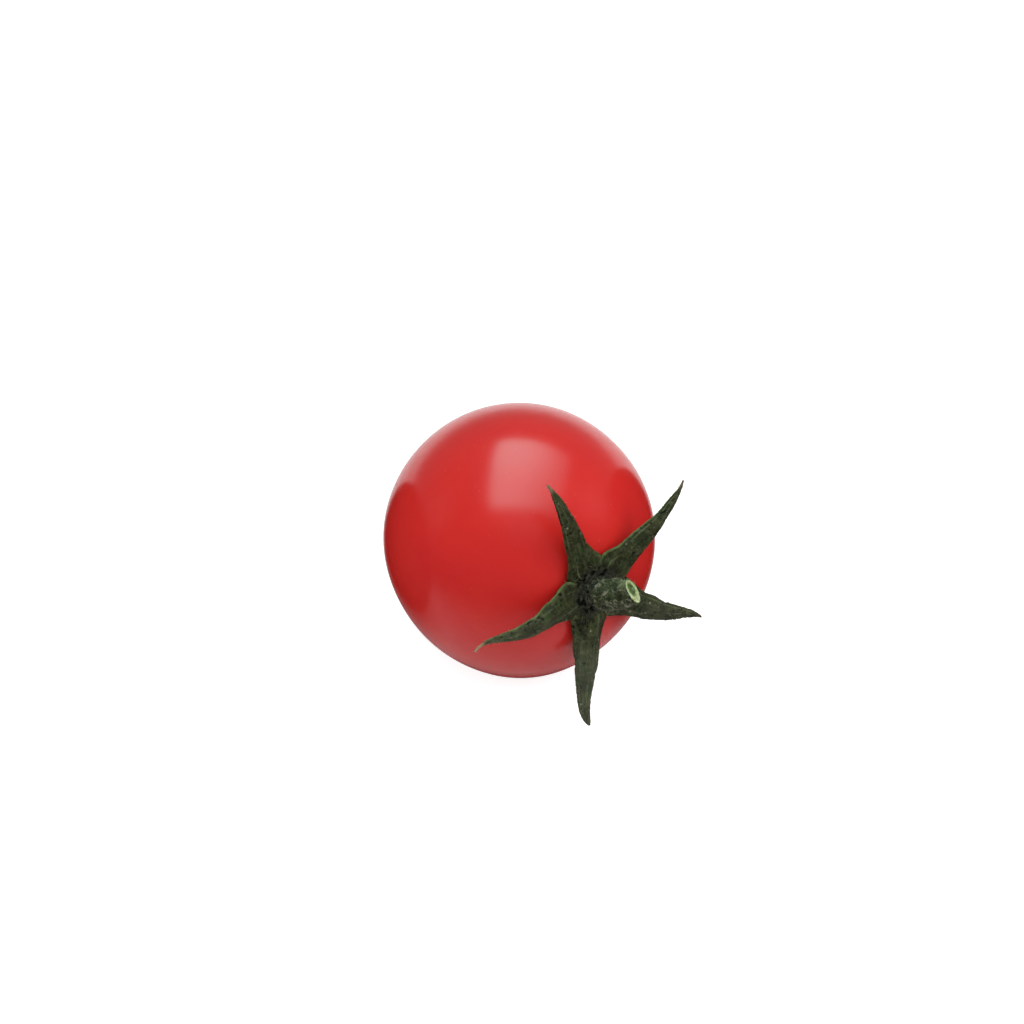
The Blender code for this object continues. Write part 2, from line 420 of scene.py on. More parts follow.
# A grown berry is never quite round: slow swellings round the outline, and slower waves all over
def berrySwell(way):
    worldWay = stalkSpace.to_3x3().normalized() @ way
    height = math.radians(view["height"])
    up = Vector((0, math.sin(height), math.cos(height)))
    swell = 0.0
    for degrees, amount in fruitShape["swellings"]:
        side = Vector((math.cos(math.radians(degrees)), 0, 0)) + up * math.sin(math.radians(degrees))
        apart = math.degrees(side.angle(worldWay))
        swell += amount * math.exp(-((apart / fruitShape["swellWidth"]) ** 2))
    wave = noise.noise(way * (berry["radius"] / fruitShape["wavePitch"]))
    return swell + fruitShape["waveHeight"] * wave


def makeFruit():
    nothingSelected()
    bpy.ops.mesh.primitive_ico_sphere_add(subdivisions=fruitShape["subdivisions"], radius=1.0)
    fruit = bpy.context.object
    bpy.ops.object.mode_set(mode="EDIT")
    bpy.ops.mesh.select_all(action="DESELECT")
    bpy.ops.object.mode_set(mode="OBJECT")
    reach = fruitShape["scarPatch"] / berry["radius"]
    for face in fruit.data.polygons:
        face.select = face.center.z < 0 and math.hypot(face.center.x, face.center.y) < reach
    bpy.ops.object.mode_set(mode="EDIT")
    bpy.ops.mesh.subdivide(number_cuts=fruitShape["scarCuts"])
    bpy.ops.object.mode_set(mode="OBJECT")
    toStalk = stalkSpace.inverted()
    for vert in fruit.data.vertices:
        way = vert.co.normalized()
        place = stalkSpace @ (berryPoint(way) + way * berrySwell(way))
        # The skin spreads into a small flat spot where it rests, with a soft edge
        soft = fruitShape["restSoftness"] * mm
        place.z = (place.z + math.sqrt(place.z**2 + soft**2)) / 2
        vert.co = toStalk @ place
    fruit.data.materials.append(makeSkin())
    finishPiece(fruit, "fruit")


skinLook = {
    "ground": "#cc2a22",
    "deepRed": "#c02022",
    "speck": "#d65a3c",
    "scar": "#7a4a26",
    "mottleSize": 5.0,
    "speckPitch": 1.1,
    "raggedSize": 0.3,
    "raggedReach": 0.35,
    "grainSize": 0.25,
    "grainDepth": 0.006,
    "layers": [
        ("deepRed", "mottle", 0.0, 1.0, 0.0, 1.0),
        ("speck", "specks", 0.045, 0.09, 0.3, 0.0),
        ("scar", "scar", 0.5 * mm, 0.75 * mm, 1.0, 0.0),
    ],
}


# Ripe tomato skin: a thin waxy cuticle over wet red flesh, so a clear soft-edged shine on a deep even red,
# with tiny paler dots under the cuticle and a corky brown scar at the blossom end
def makeSkin():
    skin, tree, shader = startMaterial("ripe tomato skin", {
        "Roughness": 0.22, "IOR": 1.46, "Subsurface Weight": 0.12, "Subsurface Radius": (1.0, 0.25, 0.15),
        "Subsurface Scale": 1.5 * mm,
    })
    place = addNode(tree, "TexCoord").outputs["Object"]
    mottle = addNode(tree, "TexNoise", values={
        "Scale": 1 / (skinLook["mottleSize"] * mm), "Detail": 3.0, "Roughness": 0.55,
    }, links={"Vector": place})
    specks = addNode(tree, "TexVoronoi", values={"Scale": 1 / (skinLook["speckPitch"] * mm)}, links={
        "Vector": place,
    })
    scarPlace = stalkSpace @ berryPoint(Vector((0, 0, -1)))
    away = addNode(tree, "VectorMath", {"operation": "DISTANCE"}, {1: scarPlace}, {0: place})
    ragged = addNode(tree, "TexNoise", values={
        "Scale": 1 / (skinLook["raggedSize"] * mm), "Detail": 2.0,
    }, links={"Vector": place})
    scar = addNode(tree, "Math", {"operation": "MULTIPLY_ADD"}, {1: skinLook["raggedReach"] * mm}, {
        0: ragged.outputs[0], 2: away.outputs["Value"],
    })
    paintLayers(tree, shader, skinLook, {
        "mottle": mottle.outputs[0], "specks": specks.outputs["Distance"], "scar": scar.outputs[0],
    })
    grain = addNode(tree, "TexNoise", values={
        "Scale": 1 / (skinLook["grainSize"] * mm), "Detail": 2.0,
    }, links={"Vector": place})
    bump = addNode(tree, "Bump", values={"Strength": 0.12, "Distance": skinLook["grainDepth"] * mm}, links={
        "Height": grain.outputs[0],
    })
    tree.links.new(bump.outputs[0], shader.inputs["Normal"])
    return skin


# The calyx: five sepals that are joined at their roots and part at the notches

calyx = {
    "hubHeight": 12.65,
    "start": 1.1,
    "notches": [16.8, 91.8, 158.4, 231.2, 301.8],  # headings round the stalk, in degrees
    "overlap": 0.2,
    "notchRound": 0.45,
    "webReach": 2.75,
    "webHalf": 2.15,
    "webFlare": 1.3,
    "rows": 120,
    "rowCrowding": 1.25,  # over 1, rows lie closer together towards the tip
    "columns": 26,
    "thickness": 0.46,
    "tipThinning": 0.55,
    "marginThinning": 0.45,
    "fold": 0.38,
    "foldSoftness": 0.25,
    "tipHalfWidth": 0.035,
    "edgeWave": 0.07,
    "edgePitch": 1.3,
    "edgeShift": 7.3,  # so that a sepal's two edges differ
    "waveHeight": 0.2,
    "wavePitch": 2.6,
    "waveAcross": 0.6,
    "waveInMiddle": 0.3,
    # From and to which share of a sepal's length, or of its half width, each of these sets in
    "riseAlong": (0.08, 0.38),
    "edgeWaveAlong": (0.2, 0.35),
    "foldAlong": (0.1, 0.4),
    "twistAlong": (0.15, 0.6),
    "waveAlong": (0.2, 0.5),
    "thinAlong": (0.5, 1.0),
    "thinAcross": (0.55, 1.0),
    "downAlong": (0.25, 0.6),
    "paintedLitMarginAlong": (0.1, 0.22),
    "paintedLitMarginAcross": (0.8, 0.96),
    "tipAlong": (0.91, 0.97),
    # Pits lie in patches where the noise is in these ranges, but for the last share of a sepal
    "patchPitch": 1.7,
    "patchRange": (-0.15, 0.25),
    "pitDepth": 0.1,
    "pitPitch": 0.3,
    "pitRange": (0.15, 0.5),
    "smoothTip": 0.2,
    "grainHeight": 0.04,
    "grainPitch": 0.3,
    # Round the stalk the pits are deep and close together, where the surface faces outwards
    "hubRough": (1.7, 3.0),
    "hubFacing": 0.5,
    "hubGrain": 2,
    "hubPitDepth": 0.24,
    "hubPitPitch": 0.62,
    "hubPitRange": (0.15, 0.6),
    "hubBend": 0.3,
    "hubBendPitch": 0.4,
    "hairs": 140,
}

# Lengths in millimetres along and off a straight line from the hub, close to the imported model's. A painted
# highlight, a paler margin, lies on the side that the headings run towards (1), on the other (-1) or on
# neither. A dry tip is pale or brown
sepals = {
    "sepal_right": {
        "heading": 60.3, "reach": 14.1, "breadth": 4.0, "taper": 0.7, "arch": 0.7, "rise": 0.5, "bow": -1.0,
        "sway": 0.25, "hook": -1.45, "hookPower": 6, "twist": 6.0, "downy": 0.65, "paintedLitSide": 0,
        "paleTip": 0.0, "brownTip": 0.9,
    },
    "sepal_upper_right": {
        "heading": 121.5, "reach": 13.5, "breadth": 3.8, "taper": 0.7, "arch": 0.5, "rise": 0.7, "bow": -0.07,
        "sway": 0.04, "hook": 0.9, "hookPower": 6, "twist": -4.0, "downy": 0.1, "paintedLitSide": 1,
        "paleTip": 0.3, "brownTip": 0.2,
    },
    "sepal_upper_left": {
        "heading": 194.0, "reach": 14.7, "breadth": 3.6, "taper": 0.78, "arch": 0.5, "rise": 0.7, "bow": 0.18,
        "sway": 0.0, "hook": 0.7, "hookPower": 6, "twist": 5.0, "downy": 0.0, "paintedLitSide": 0,
        "paleTip": 0.8, "brownTip": 0.25,
    },
    "sepal_lower_left": {
        "heading": 260.9, "reach": 14.2, "breadth": 4.25, "taper": 0.97, "arch": 0.8, "rise": 0.5, "bow": 1.3,
        "sway": -0.5, "hook": 2.3, "hookPower": 9, "twist": -3.0, "downy": 0.45, "paintedLitSide": -1,
        "paleTip": 0.9, "brownTip": 0.0,
    },
    "sepal_lower": {
        "heading": 338.1, "reach": 14.0, "breadth": 4.05, "taper": 0.56, "arch": 0.4, "rise": 0.9,
        "bow": 0.65, "sway": -0.25, "hook": 2.4, "hookPower": 6, "twist": 4.0, "downy": 1.0, "paintedLitSide": 0,
        "paleTip": 0.0, "brownTip": 0.0,
    },
}


def sepalMiddle(sepal, along):
    angle = math.radians(sepal["heading"])
    outward = Vector((math.cos(angle), math.sin(angle), 0))
    sideways = Vector((-math.sin(angle), math.cos(angle), 0))
    aside = sepal["bow"] * math.sin(math.pi * along) + sepal["sway"] * math.sin(2 * math.pi * along)
    aside += sepal["hook"] * along ** sepal["hookPower"]
    lift = sepal["arch"] * math.sin(math.pi * along) + sepal["rise"] * along**2
    # Near the hub all five leave at one height, so that their roots run into each other
    lift *= smoothStep(*calyx["riseAlong"], along)
    return outward * (sepal["reach"] * along) + sideways * aside + Vector((0, 0, calyx["hubHeight"] + lift))


# How far it is from the middle line to the line that runs out to a notch
def roomToNotch(middle, side, notch):
    line = Vector((math.cos(math.radians(notch)), math.sin(math.radians(notch))))
    return -(middle.x * line.y - middle.y * line.x) / (side.x * line.y - side.y * line.x)


def halfWidth(sepal, along, middle, side, notch, edge, seed):
    blade = sepal["breadth"] / 2 * (1 - along) ** sepal["taper"]
    past = max(0.0, along * sepal["reach"] - calyx["webReach"])
    blade += max(0.0, calyx["webHalf"] - blade) * math.exp(-((past / calyx["webFlare"]) ** 2))
    room = abs(roomToNotch(middle, side, notch)) + calyx["overlap"] + past**2
    half = softMin(blade, room, calyx["notchRound"])
    wavyPlace = Vector((along * sepal["reach"] / calyx["edgePitch"], edge * calyx["edgeShift"], seed))
    half *= 1 + calyx["edgeWave"] * noise.noise(wavyPlace) * smoothStep(*calyx["edgeWaveAlong"], along)
    return max(calyx["tipHalfWidth"], half)


def sepalPoint(sepal, along, across, notches, seed):
    step = 0.01
    middle = sepalMiddle(sepal, along)
    ahead = sepalMiddle(sepal, min(1.0, along + step)) - sepalMiddle(sepal, along - step)
    side = Vector((0, 0, 1)).cross(ahead).normalized()
    edge = 1 if across > 0 else 0
    half = halfWidth(sepal, along, middle, side, notches[edge], edge, seed)
    # The blade is folded along its middle like a low roof, turned a little, and wavy
    off = across * half
    soft = calyx["foldSoftness"]
    droop = calyx["fold"] * (math.sqrt(off**2 + soft**2) - soft) * smoothStep(*calyx["foldAlong"], along)
    twist = math.tan(math.radians(sepal["twist"])) * off * smoothStep(*calyx["twistAlong"], along)
    wavyPlace = Vector((middle.x, middle.y, seed)) / calyx["wavePitch"]
    wave = noise.noise(wavyPlace + Vector((across * calyx["waveAcross"], 0, 0)))
    wave *= (calyx["waveInMiddle"] + abs(across)) * smoothStep(*calyx["waveAlong"], along)
    return middle + side * off + Vector((0, 0, twist - droop + calyx["waveHeight"] * wave))


def makeSepal(name, sepal, notches, seed, green, down):
    nothingSelected()
    bpy.ops.mesh.primitive_grid_add(x_subdivisions=calyx["columns"], y_subdivisions=calyx["rows"], size=2.0)
    blade = bpy.context.object
    start = calyx["start"] / sepal["reach"]
    group = blade.vertex_groups.new(name="thickness")
    marks = {"downy": [], "paintedLitMargin": [], "paleTip": [], "brownTip": []}
    for vert in blade.data.vertices:
        share = (vert.co.y + 1) / 2
        across = vert.co.x
        along = start + (1 - start) * (1 - (1 - share) ** calyx["rowCrowding"])
        vert.co = sepalPoint(sepal, along, across, notches, seed)
        thin = 1 - calyx["tipThinning"] * smoothStep(*calyx["thinAlong"], along)
        thin *= 1 - calyx["marginThinning"] * smoothStep(*calyx["thinAcross"], abs(across))
        group.add([vert.index], thin, "REPLACE")
        # Painted highlight: a paler margin on one side of the blade, out from the root
        onPaintedLitMargin = smoothStep(*calyx["paintedLitMarginAcross"], across * sepal["paintedLitSide"])
        marks["paintedLitMargin"].append(onPaintedLitMargin * smoothStep(*calyx["paintedLitMarginAlong"], along))
        marks["downy"].append(sepal["downy"] * smoothStep(*calyx["downAlong"], along))
        for tip in ("paleTip", "brownTip"):
            marks[tip].append(sepal[tip] * smoothStep(*calyx["tipAlong"], along))
    for mark, amounts in marks.items():
        blade.data.attributes.new(mark, "FLOAT", "POINT").data.foreach_set("value", amounts)
    applyModifier(blade, "SOLIDIFY", {
        "thickness": calyx["thickness"], "offset": 0.0, "vertex_group": group.name, "use_even_offset": False,
    })
    applyModifier(blade, "SUBSURF", {"levels": 1, "render_levels": 1})
    angle = math.radians(sepal["heading"])
    outward = Vector((math.cos(angle), math.sin(angle), 0))

    def relief(place, normal):
        along = place.dot(outward) / sepal["reach"]
        patch = noise.noise(place / calyx["patchPitch"] + Vector((0, seed, 0)))
        pit = noise.noise(place / calyx["pitPitch"] + Vector((seed, 0, 0)))
        pit = smoothStep(*calyx["patchRange"], patch) * smoothStep(*calyx["pitRange"], pit)
        pit *= smoothStep(0.0, calyx["smoothTip"], 1 - along)
        hub = 1 - smoothStep(*calyx["hubRough"], math.hypot(place.x, place.y))
        hub *= smoothStep(0.0, calyx["hubFacing"], normal.z)
        bend = noise.noise_vector(place / calyx["hubBendPitch"]) * calyx["hubBend"]
        fromPit = noise.voronoi(place / calyx["hubPitPitch"] + bend)[0][0]
        hubPit = hub * (1 - smoothStep(*calyx["hubPitRange"], fromPit))
        grain = (1 + calyx["hubGrain"] * hub) * noise.noise(place / calyx["grainPitch"])
        return calyx["grainHeight"] * grain - calyx["pitDepth"] * pit - calyx["hubPitDepth"] * hubPit

    carve(blade, relief)
    blade.data.materials.append(green)
    growHairs(blade, calyx["hairs"], seed, down)
    finishPiece(blade, name)


# Hairs: one thin bent cone is modelled, and its copies stand along the edges and on the faces

hairShape = {
    "length": (0.15, 0.42),
    "baseRadius": 0.016,
    "tipShare": 0.15,
    "sides": 3,
    "bends": (0.35, 0.7),  # shares of its length
    "bend": 0.35,
    "lean": 0.55,
    "rootDepth": 0.03,
    "colour": "#7f8468",
}


def modelHair():
    nothingSelected()
    bpy.ops.mesh.primitive_cone_add(
        vertices=hairShape["sides"], radius1=1.0, radius2=hairShape["tipShare"], depth=1.0,
        location=(0, 0, 0.5),
    )
    hair = bpy.context.object
    bpy.ops.object.transform_apply(location=True)
    bpy.ops.object.mode_set(mode="EDIT")
    for level in hairShape["bends"]:
        bpy.ops.mesh.select_all(action="SELECT")
        bpy.ops.mesh.bisect(plane_co=(0, 0, level), plane_no=(0, 0, 1))
    bpy.ops.object.mode_set(mode="OBJECT")
    points = [vert.co.copy() for vert in hair.data.vertices]
    faces = [tuple(face.vertices) for face in hair.data.polygons]
    bpy.data.objects.remove(hair)
    return points, faces


def growHairs(piece, count, seed, down):
    picker = random.Random(seed)
    points, faces = modelHair()
    allPoints, allFaces = [], []
    verts = piece.data.vertices
    for number in range(count):
        root = verts[picker.randrange(len(verts))]
        length = picker.uniform(*hairShape["length"])
        lean = Vector([picker.uniform(-1, 1) for axis in range(3)]) * hairShape["lean"]
        way = (root.normal + lean).normalized()
        roll = Matrix.Rotation(picker.uniform(0, math.tau), 3, "Z")
        turned = way.to_track_quat("Z", "Y").to_matrix() @ roll
        first = len(allPoints)
        for point in points:
            bent = Vector((
                point.x * hairShape["baseRadius"] + hairShape["bend"] * length * point.z**2,
                point.y * hairShape["baseRadius"],
                point.z * length,
            ))
            allPoints.append(root.co + turned @ bent - way * hairShape["rootDepth"])
        allFaces += [tuple(first + corner for corner in face) for face in faces]
    mesh = bpy.data.meshes.new("hairs")
    mesh.from_pydata(allPoints, [], allFaces)
    mesh.materials.append(down)
    hairs = bpy.data.objects.new("hairs", mesh)
    bpy.context.scene.collection.objects.link(hairs)
    nothingSelected()
    hairs.select_set(True)
    piece.select_set(True)
    bpy.context.view_layer.objects.active = piece
    bpy.ops.object.join()


sepalLook = {
    "ground": "#323318",
    "darkGreen": "#1a1c08",
    "facet": "#4c4e32",
    "freshAndLitGreen": "#334a20",
    "streak": "#23260c",
    "vein": "#626a47",
    "pit": "#070704",
    "speck": "#8f927c",
    "down": "#8f9484",
    "paintedLitMarginGreen": "#5a7040",
    "underside": "#66794a",
    "hub": "#2c2b21",
    "hubRidge": "#545444",
    "paleTip": "#9c8265",
    "brownTip": "#3d1a10",
    "blotchSize": 1.9,
    "facetSize": 1.1,
    "freshAndLitGreenSize": 1.4,
    "fineSize": 0.42,
    "fineDepth": 0.06,
    "speckPitch": 1.5,
    "streakPerBlade": (9.0, 2.0, 1.0),
    "hubRagged": 1.6,
    "layers": [
        ("darkGreen", "blotch", 0.42, 0.6, 0.0, 0.85),
        ("facet", "facet", 0.5, 0.66, 0.0, 0.7),
        ("freshAndLitGreen", "freshAndLitGreen", 0.52, 0.66, 0.0, 0.45),
        ("streak", "streak", 0.52, 0.66, 0.0, 0.75),
        ("vein", "streak", 0.44, 0.34, 0.0, 0.6),
        # Painted shade: near-black round the stalk's root, in the sunk middle of the calyx
        ("hub", "fromHub", 2.9 * mm, 3.9 * mm, 0.95, 0.0),
        ("hubRidge", "fine", 0.55, 0.7, 0.0, 0.45),
        # Painted shade: near-black in the hollows of the fine bump and in the carved pits
        ("pit", "fine", 0.42, 0.3, 0.0, 0.8),
        ("pit", "relief", -0.02, -0.1, 0.0, 0.95),
        ("speck", "specks", 0.04, 0.1, 0.6, 0.0),
        ("down", "downy", 0.0, 1.0, 0.0, 0.09),
        # Painted highlight: paler green in patches along one margin of each sepal
        ("paintedLitMarginGreen", "patchyPaintedLitMargin", 0.25, 0.55, 0.0, 0.75),
        ("underside", "outward", -0.1, -0.5, 0.0, 0.75),
        ("paleTip", "paleTip", 0.0, 1.0, 0.0, 1.0),
        ("brownTip", "brownTip", 0.0, 1.0, 0.0, 1.0),
    ],
}


# Fresh sepal: soft, matt and downy, dark green and blotchy, with a painted highlight along one margin,
# painted shade in its pits and round the hub, and a dry tip
def makeSepalGreen():
    green, tree, shader = startMaterial("fresh downy sepal", {"Roughness": 0.68, "Specular IOR Level": 0.2})
    texture = addNode(tree, "TexCoord")
    place = texture.outputs["Object"]
    sources = {}
    for name in ("blotch", "facet", "freshAndLitGreen", "fine"):
        sources[name] = addNode(tree, "TexNoise", values={
            "Scale": 1 / (sepalLook[name + "Size"] * mm), "Detail": 3.0, "Roughness": 0.6,
        }, links={"Vector": place}).outputs[0]
    for name in ("relief", "downy", "paintedLitMargin", "paleTip", "brownTip"):
        sources[name] = addNode(tree, "Attribute", {"attribute_name": name}).outputs["Fac"]
    stretched = addNode(tree, "Mapping", values={"Scale": sepalLook["streakPerBlade"]}, links={
        "Vector": texture.outputs["UV"],
    })
    sources["streak"] = addNode(tree, "TexNoise", values={"Scale": 1.0, "Detail": 3.0}, links={
        "Vector": stretched.outputs[0],
    }).outputs[0]
    sources["specks"] = addNode(tree, "TexVoronoi", values={
        "Scale": 1 / (sepalLook["speckPitch"] * mm),
    }, links={"Vector": place}).outputs["Distance"]
    sources["patchyPaintedLitMargin"] = addNode(tree, "Math", {"operation": "MULTIPLY"}, links={
        0: sources["paintedLitMargin"], 1: sources["facet"],
    }).outputs[0]
    # The underside's normal points back down the stalk
    sources["outward"] = addNode(tree, "VectorMath", {"operation": "DOT_PRODUCT"}, {1: stalkWay}, {
        0: texture.outputs["Normal"],
    }).outputs["Value"]
    hub = stalkSpace @ Vector((0, 0, calyx["hubHeight"]))
    away = addNode(tree, "VectorMath", {"operation": "DISTANCE"}, {1: hub}, {0: place}).outputs["Value"]
    sources["fromHub"] = addNode(tree, "Math", {"operation": "MULTIPLY_ADD"}, {
        1: sepalLook["hubRagged"] * mm,
    }, {0: sources["facet"], 2: away}).outputs[0]
    paintLayers(tree, shader, sepalLook, sources)
    bump = addNode(tree, "Bump", values={"Strength": 0.8, "Distance": sepalLook["fineDepth"] * mm}, links={
        "Height": sources["fine"],
    })
    tree.links.new(bump.outputs[0], shader.inputs["Normal"])
    return green


# Plant down: clear pale hairs that catch the light
def makeDown():
    return startMaterial("plant down", {
        "Base Color": hexColour(hairShape["colour"]), "Roughness": 0.5, "Specular IOR Level": 0.4,
    })[0]


def makeCalyx(down):
    green = makeSepalGreen()
    notches = calyx["notches"]
    for number, (name, sepal) in enumerate(sepals.items()):
        before = notches[number]
        after = notches[(number + 1) % len(notches)]
        makeSepal(name, sepal, (before, after), number + 1, green, down)


# The stalk: a round receptacle in the middle of the star, a narrow neck, a barrel and an oblique cut

stalkShape = {
    "start": (0, 0, 12.4),
    "bend": (0, 0, 14.8),
    "end": (-1.6, 1.22, 17.5),
    # Before it is cut, the stalk runs on past its end by this length, which is this share of the way
    "spare": 2.0,
    "spareShare": 0.4,
    "stations": 90,
    "sides": 60,  # curve resolution steps round it
    # How thick it is along the way: share of the way and radius
    "profile": [
        (0.0, 1.75), (0.06, 1.5), (0.12, 1.22), (0.18, 1.25), (0.27, 1.42),
        (0.4, 1.5), (0.55, 1.5), (0.7, 1.45), (0.85, 1.32), (1.0, 1.22), (1.4, 1.18),
    ],
    "seamMerge": 0.0005,
    "cutFacing": (-0.50, 0.66, 0.56),
    "cutRings": (0.95, 0.86, 0.75, 0.63, 0.51, 0.39, 0.28, 0.17, 0.08),
    "cutMerge": 0.02,
    "cutLongWay": (0.785, 0.073, 0.615),
    # How squarely the surface faces as the cut does, and how near its plane it lies, to count as the cut
    "cutTilt": (0.85, 0.95),
    "cutNear": (0.05, 0.2),
    "fleshTilt": 0.75,
    "fleshNear": 0.25,
    "cutRough": 0.05,
    "cutRoughPitch": 0.3,
    "dishDepth": 0.12,
    "dishRadii": (0.2, 0.7),
    "rootHeights": (13.3, 14.9),
    "lumpHeight": 0.05,
    "lumpPitch": 0.9,
    # Wrinkles are raised where a stretched noise is near nought, in patches
    "wrinkleHeight": 0.13,
    "wrinklePitch": 0.45,
    "wrinkleStretch": 0.6,
    "wrinkleSharpness": 4,
    "wrinkleSunk": 0.2,
    "patchPitch": 0.7,
    "patchShift": 5,
    "patchRange": (-0.2, 0.2),
    "ringHeight": 0.14,
    "ringPitch": 0.3,
    "ringAcross": 0.35,
    "ringOnBarrel": 0.25,
    "pitDepth": 0.16,
    "pitPitch": 0.45,
    "pitRange": (0.1, 0.5),
    "pitOnBarrel": 0.15,
    "hairs": 650,
    "hairSeed": 11,
}


def stalkMiddle(along):
    start, bend, end = (Vector(stalkShape[key]) for key in ("start", "bend", "end"))
    if along > 1:
        return end + (end - bend).normalized() * stalkShape["spare"] * (along - 1) / stalkShape["spareShare"]
    return start * (1 - along) ** 2 + bend * 2 * along * (1 - along) + end * along**2


def stalkRadius(along):
    profile = stalkShape["profile"]
    for (low, first), (high, second) in zip(profile, profile[1:]):
        if along <= high:
            return first + (second - first) * smoothStep(low, high, along)
    return profile[-1][1]


# Merging leaves edges and faces in an order that changes from run to run. Here they are put in order, so that
# the hairs, whose roots are picked by number, stand in the same places each time
def settleOrder(mesh):
    points = [vert.co.copy() for vert in mesh.vertices]
    edges = sorted(tuple(sorted(edge.vertices)) for edge in mesh.edges)
    faces = []
    for face in mesh.polygons:
        corners = tuple(face.vertices)
        first = corners.index(min(corners))
        faces.append(corners[first:] + corners[:first])
    mesh.clear_geometry()
    mesh.from_pydata(points, edges, sorted(faces))


def makeStalk(down):
    nothingSelected()
    curve = bpy.data.curves.new("stalk", "CURVE")
    curve.dimensions = "3D"
    curve.bevel_depth = 1.0
    curve.bevel_resolution = stalkShape["sides"] // 2 - 2
    curve.use_fill_caps = True
    spline = curve.splines.new("POLY")
    spline.points.add(stalkShape["stations"])
    for number, point in enumerate(spline.points):
        along = (1 + stalkShape["spareShare"]) * number / stalkShape["stations"]
        point.co = (*stalkMiddle(along), 1.0)
        point.radius = stalkRadius(along)
    stalk = bpy.data.objects.new("stalk", curve)
    bpy.context.scene.collection.objects.link(stalk)
    stalk.select_set(True)
    bpy.context.view_layer.objects.active = stalk
    bpy.ops.object.convert(target="MESH")
    stalk = bpy.context.object
    facing = Vector(stalkShape["cutFacing"]).normalized()
    end = Vector(stalkShape["end"])
    bpy.ops.object.mode_set(mode="EDIT")
    bpy.ops.mesh.select_all(action="SELECT")
    bpy.ops.mesh.remove_doubles(threshold=stalkShape["seamMerge"])
    bpy.ops.mesh.normals_make_consistent(inside=False)
    bpy.ops.mesh.bisect(plane_co=end, plane_no=facing, use_fill=True, clear_outer=True)
    # The knife's face is drawn in, ring by ring, for the rim, the pale flesh and the pith
    size = 1.0
    for share in stalkShape["cutRings"]:
        bpy.ops.mesh.extrude_region()
        bpy.ops.transform.resize(value=(share / size,) * 3, center_override=end)
        size = share
    bpy.ops.mesh.select_all(action="SELECT")
    bpy.ops.mesh.remove_doubles(threshold=stalkShape["cutMerge"])
    bpy.ops.object.mode_set(mode="OBJECT")
    settleOrder(stalk.data)
    applyModifier(stalk, "SUBSURF", {"levels": 1, "render_levels": 1})

    # Rough and pitted at its root, with thin raised wrinkles over the barrel, and a shallow dish in the cut
    def relief(place, normal):
        depth = (place - end).dot(facing)
        onCut = smoothStep(*stalkShape["cutTilt"], normal.dot(facing))
        onCut *= 1 - smoothStep(*stalkShape["cutNear"], abs(depth))
        root = 1 - smoothStep(*stalkShape["rootHeights"], place.z)
        lump = noise.noise(place / stalkShape["lumpPitch"])
        stretched = Vector((place.x, place.y, place.z * stalkShape["wrinkleStretch"]))
        crease = abs(noise.noise(stretched / stalkShape["wrinklePitch"]))
        patch = noise.noise(place / stalkShape["patchPitch"] + Vector((stalkShape["patchShift"], 0, 0)))
        wrinkle = max(0.0, 1 - stalkShape["wrinkleSharpness"] * crease)
        wrinkle *= smoothStep(*stalkShape["patchRange"], patch)
        across = stalkShape["ringAcross"]
        ring = noise.noise(Vector((place.x * across, place.y * across, place.z / stalkShape["ringPitch"])))
        ring *= stalkShape["ringOnBarrel"] + (1 - stalkShape["ringOnBarrel"]) * root
        fromPit = noise.voronoi(place / stalkShape["pitPitch"])[0][0]
        pit = (1 - smoothStep(*stalkShape["pitRange"], fromPit)) * (stalkShape["pitOnBarrel"] + root)
        rough = stalkShape["lumpHeight"] * lump
        rough += stalkShape["wrinkleHeight"] * (wrinkle - stalkShape["wrinkleSunk"])
        rough += stalkShape["ringHeight"] * ring - stalkShape["pitDepth"] * pit
        fromMiddle = (place - end - facing * depth).length
        dish = stalkShape["cutRough"] * noise.noise(place / stalkShape["cutRoughPitch"])
        dish -= stalkShape["dishDepth"] * (1 - smoothStep(*stalkShape["dishRadii"], fromMiddle))
        return rough * (1 - onCut) + dish * onCut

    carve(stalk, relief)
    stalk.data.materials.append(makeStalkGreen())
    stalk.data.materials.append(makeCutFlesh())
    for face in stalk.data.polygons:
        near = abs((face.center - end).dot(facing)) < stalkShape["fleshNear"]
        face.material_index = 1 if near and face.normal.dot(facing) > stalkShape["fleshTilt"] else 0
    growHairs(stalk, stalkShape["hairs"], stalkShape["hairSeed"], down)
    finishPiece(stalk, "stem")


stalkLook = {
    "ground": "#3a4226",
    "darkGreen": "#20240f",
    "freshAndLitGreen": "#7d9162",
    "wrinkle": "#97957f",
    "pit": "#080a05",
    "root": "#2b2b22",
    "blotchSize": 0.9,
    "fineSize": 0.25,
    "fineDepth": 0.05,
    "litSideRagged": 0.8,
    "layers": [
        ("darkGreen", "blotch", 0.4, 0.62, 0.0, 1.0),
        # Painted shade: darker at the stalk's root, where it meets the calyx
        ("root", "fromRoot", 1.5 * mm, 2.6 * mm, 0.9, 0.0),
        # Painted highlight: lighter green on the stalk's upper side
        ("freshAndLitGreen", "fromUpperLitPlace", 0.5 * mm, 1.5 * mm, 0.8, 0.0),
        ("wrinkle", "relief", 0.0, 0.1, 0.0, 0.56),
        ("wrinkle", "fine", 0.56, 0.72, 0.0, 0.2),
        # Painted shade: near-black in the carved hollows
        ("pit", "relief", -0.03, -0.12, 0.0, 0.95),
    ],
}
